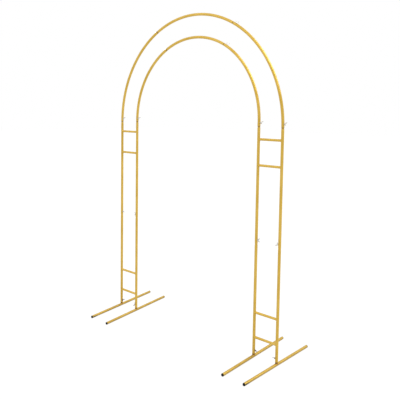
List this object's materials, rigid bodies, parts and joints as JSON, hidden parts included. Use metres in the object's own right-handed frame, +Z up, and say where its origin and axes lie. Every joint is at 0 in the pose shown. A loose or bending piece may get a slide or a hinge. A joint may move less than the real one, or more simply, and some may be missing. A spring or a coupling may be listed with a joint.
{
  "type": "wedding arch",
  "caption": "Free-standing arch frame of thin gold tube: an outer and an inner round-topped arch joined by rungs at the legs, on straight tube feet.",
  "frame": {"origin": "on the ground, midway between the legs, in the plane of the arches", "axes": "+X to the right across the arch seen from the front, +Y to the back, +Z up"},
  "size_m": [1.5895, 0.7, 2.2534],
  "materials": {
    "gold_finish": "satin gold lacquer",
    "black_plug": "moulded",
    "silver_screw": "bright zinc plate"
  },
  "bodies": {
    "root": {"inner_arch_crown": "gold_finish", "inner_arch_left": "gold_finish", "inner_arch_right": "gold_finish", "left_crown_wing_screws": "silver_screw", "left_foot_wing_screws": "silver_screw", "left_inner_foot": "gold_finish", "left_inner_foot_plugs": "black_plug", "left_inner_foot_spigot": "gold_finish", "left_inner_lower_leg": "gold_finish", "left_inner_upper_leg": "gold_finish", "left_lower_high_rung": "gold_finish", "left_lower_low_rung": "gold_finish", "left_mid_wing_screws": "silver_screw", "left_outer_foot": "gold_finish", "left_outer_foot_plugs": "black_plug", "left_outer_foot_spigot": "gold_finish", "left_outer_lower_leg": "gold_finish", "left_outer_upper_leg": "gold_finish", "left_spring_wing_screws": "silver_screw", "left_upper_high_rung": "gold_finish", "left_upper_low_rung": "gold_finish", "outer_arch_crown": "gold_finish", "outer_arch_left": "gold_finish", "outer_arch_right": "gold_finish", "right_crown_wing_screws": "silver_screw", "right_foot_wing_screws": "silver_screw", "right_inner_foot": "gold_finish", "right_inner_foot_plugs": "black_plug", "right_inner_foot_spigot": "gold_finish", "right_inner_lower_leg": "gold_finish", "right_inner_upper_leg": "gold_finish", "right_lower_high_rung": "gold_finish", "right_lower_low_rung": "gold_finish", "right_mid_wing_screws": "silver_screw", "right_outer_foot": "gold_finish", "right_outer_foot_plugs": "black_plug", "right_outer_foot_spigot": "gold_finish", "right_outer_lower_leg": "gold_finish", "right_outer_upper_leg": "gold_finish", "right_spring_wing_screws": "silver_screw", "right_upper_high_rung": "gold_finish", "right_upper_low_rung": "gold_finish"}
  },
  "joints": []
}
